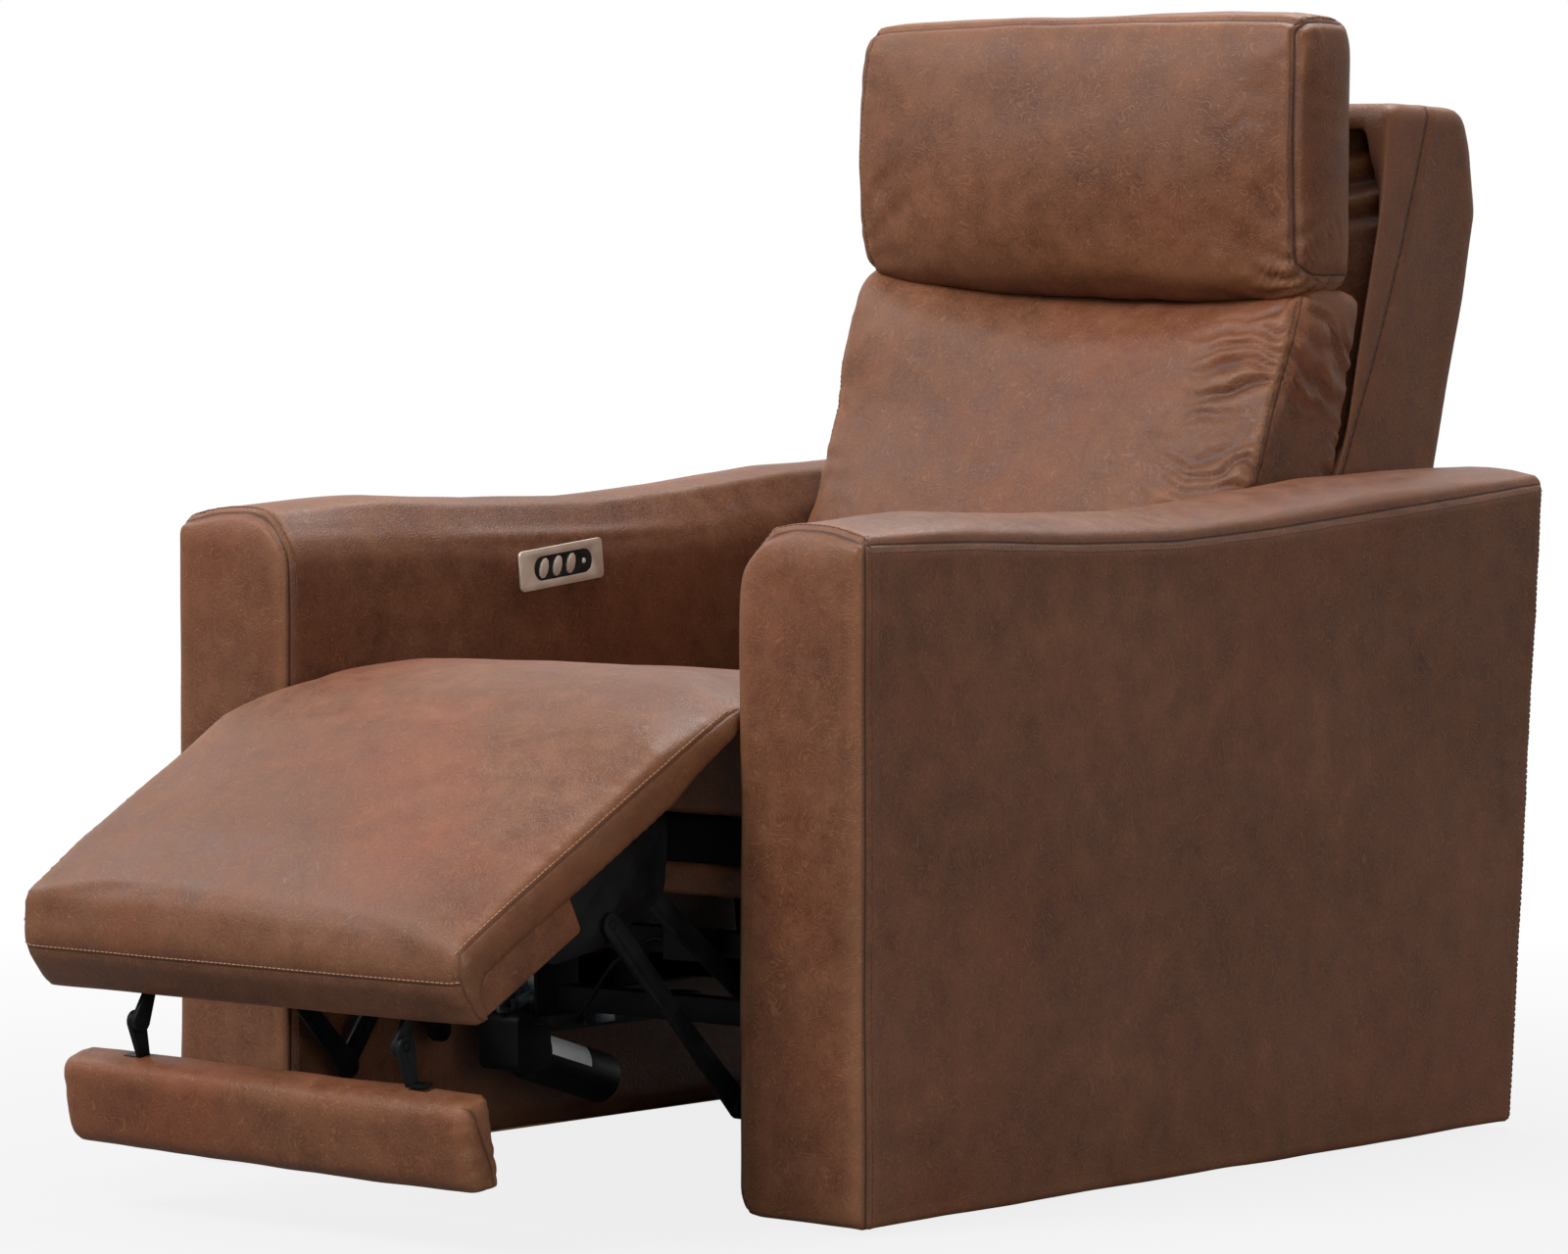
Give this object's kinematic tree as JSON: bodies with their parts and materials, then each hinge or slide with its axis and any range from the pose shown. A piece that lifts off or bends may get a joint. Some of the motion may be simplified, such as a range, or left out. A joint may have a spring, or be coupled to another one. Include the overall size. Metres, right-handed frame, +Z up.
{
  "type": "cinema recliner seat",
  "caption": "Single upholstered cinema recliner with powered leg rest, folding foot rest, reclining back, tilting head cushion and an arm control panel.",
  "frame": {"origin": "middle of the footprint at floor level, in the pictured pose", "axes": "+Z up, -Y the way the sitter faces, +X towards the arm without the control panel"},
  "size_m": [0.852, 1.5396, 1.1039],
  "materials": {
    "leather": "satin",
    "frame_wood": "matte",
    "mechanism_steel": "satin",
    "black_plastic": "matte",
    "zinc_steel": "satin",
    "panel_metal": "satin",
    "lamp_plastic": "gloss"
  },
  "bodies": {
    "base": {"near_arm_cover": "leather", "far_arm_cover": "leather", "near_arm_frame": "frame_wood", "far_arm_frame": "frame_wood", "near_front_glide": "black_plastic", "far_front_glide": "black_plastic", "near_rear_glide": "black_plastic", "far_rear_glide": "black_plastic", "control_plate": "panel_metal", "control_housing": "black_plastic", "status_lamp": "lamp_plastic", "near_track": "mechanism_steel", "far_track": "mechanism_steel", "front_base_tube": "mechanism_steel", "rear_base_tube": "mechanism_steel"},
    "seat": {"seat_cushion": "leather", "seat_frame": "frame_wood", "seat_spring_1": "mechanism_steel", "seat_spring_2": "mechanism_steel", "seat_spring_3": "mechanism_steel", "near_side_plate": "mechanism_steel", "far_side_plate": "mechanism_steel", "front_rail": "leather", "cross_tube_frame": "mechanism_steel", "rear_cross_tube": "mechanism_steel", "control_box": "black_plastic", "motor_harness": "black_plastic", "legrest_actuator": "black_plastic", "recline_actuator": "black_plastic"},
    "legrest": {"legrest_cushion": "leather", "legrest_board": "leather", "near_legrest_bracket": "mechanism_steel", "far_legrest_bracket": "mechanism_steel", "near_foot_lug": "mechanism_steel", "far_foot_lug": "mechanism_steel"},
    "foot_rest": {"foot_cushion": "leather", "near_foot_arm": "mechanism_steel", "far_foot_arm": "mechanism_steel"},
    "front_links": {"near_front_link": "mechanism_steel", "far_front_link": "mechanism_steel"},
    "rear_links": {"rear_link_frame": "mechanism_steel"},
    "front_struts": {"near_front_strut": "mechanism_steel", "far_front_strut": "mechanism_steel"},
    "rear_struts": {"near_rear_strut": "mechanism_steel", "far_rear_strut": "mechanism_steel"},
    "legrest_drive": {"legrest_drive_block": "zinc_steel"},
    "back": {"back_shell": "leather", "back_frame": "frame_wood", "back_hinge_frame": "mechanism_steel", "back_cushion": "leather", "head_hinge": "mechanism_steel", "headrest_actuator": "black_plastic"},
    "recline_drive": {"recline_drive_block": "zinc_steel"},
    "headrest": {"head_cushion": "leather", "head_plate": "mechanism_steel"},
    "headrest_drive": {"headrest_drive_rod": "zinc_steel"},
    "legrest_key": {"legrest_button": "panel_metal"},
    "recline_key": {"recline_button": "panel_metal"},
    "headrest_key": {"headrest_button": "panel_metal"}
  },
  "joints": [
    {"name": "seat_slide", "type": "slide", "parent": "base", "child": "seat", "axis": [0, -1, 0], "range_m": [-0.0302, 0.0098]},
    {"name": "legrest_hinge", "type": "hinge", "parent": "seat", "child": "legrest", "pos_m": [0, -0.387, 0.468], "axis": [-1, 0, 0], "range_deg": [-62, 20]},
    {"name": "foot_hinge", "type": "hinge", "parent": "legrest", "child": "foot_rest", "pos_m": [0, -0.71988, 0.17787], "axis": [-1, 0, 0], "range_deg": [-107.8, 35.1]},
    {"name": "front_link_hinge", "type": "hinge", "parent": "seat", "child": "front_links", "pos_m": [0, -0.214, 0.2916], "axis": [-1, 0, 0], "range_deg": [-62.5, 20.5]},
    {"name": "rear_link_hinge", "type": "hinge", "parent": "seat", "child": "rear_links", "pos_m": [0, -0.154, 0.2896], "axis": [-1, 0, 0], "range_deg": [-62.5, 20.5]},
    {"name": "front_strut_hinge", "type": "hinge", "parent": "legrest", "child": "front_struts", "pos_m": [0, -0.53426, 0.27544], "axis": [-1, 0, 0], "range_deg": [-20.5, 62.5]},
    {"name": "rear_strut_hinge", "type": "hinge", "parent": "legrest", "child": "rear_struts", "pos_m": [0, -0.47769, 0.30325], "axis": [-1, 0, 0], "range_deg": [-20.5, 62.5]},
    {"name": "legrest_drive_slide", "type": "slide", "parent": "seat", "child": "legrest_drive", "axis": [0, -1, 0], "range_m": [-0.1295, 0.042]},
    {"name": "back_hinge", "type": "hinge", "parent": "seat", "child": "back", "pos_m": [0, 0.341, 0.345], "axis": [-1, 0, 0], "range_deg": [-8, 30]},
    {"name": "recline_drive_slide", "type": "slide", "parent": "seat", "child": "recline_drive", "axis": [0, -1, 0], "range_m": [-0.0125, 0.0458]},
    {"name": "headrest_hinge", "type": "hinge", "parent": "back", "child": "headrest", "pos_m": [0, 0.562, 0.866], "axis": [-1, 0, 0], "range_deg": [-5, 20]},
    {"name": "headrest_drive_slide", "type": "slide", "parent": "back", "child": "headrest_drive", "axis": [0, -0.2487, -0.9686], "range_m": [-0.004, 0.0155]},
    {"name": "legrest_button_press", "type": "slide", "parent": "base", "child": "legrest_key", "axis": [-1, 0, 0], "range_m": [0, 0.0012], "stiffness_N_per_m": 600, "springref_m": -0.0008},
    {"name": "recline_button_press", "type": "slide", "parent": "base", "child": "recline_key", "axis": [-1, 0, 0], "range_m": [0, 0.0012], "stiffness_N_per_m": 600, "springref_m": -0.0008},
    {"name": "headrest_button_press", "type": "slide", "parent": "base", "child": "headrest_key", "axis": [-1, 0, 0], "range_m": [0, 0.0012], "stiffness_N_per_m": 600, "springref_m": -0.0008}
  ],
  "couplings": [
    {"joint": "seat_slide", "follows": "legrest_hinge", "m_per_rad": 0.0277},
    {"joint": "foot_hinge", "follows": "legrest_hinge", "ratio": 1.73},
    {"joint": "front_link_hinge", "follows": "legrest_hinge", "ratio": 1},
    {"joint": "rear_link_hinge", "follows": "legrest_hinge", "ratio": 1},
    {"joint": "front_strut_hinge", "follows": "legrest_hinge", "ratio": -1},
    {"joint": "rear_strut_hinge", "follows": "legrest_hinge", "ratio": -1},
    {"joint": "legrest_drive_slide", "follows": "legrest_hinge", "m_per_rad": 0.1192},
    {"joint": "recline_drive_slide", "follows": "back_hinge", "m_per_rad": 0.0867},
    {"joint": "headrest_drive_slide", "follows": "headrest_hinge", "m_per_rad": 0.0436}
  ]
}
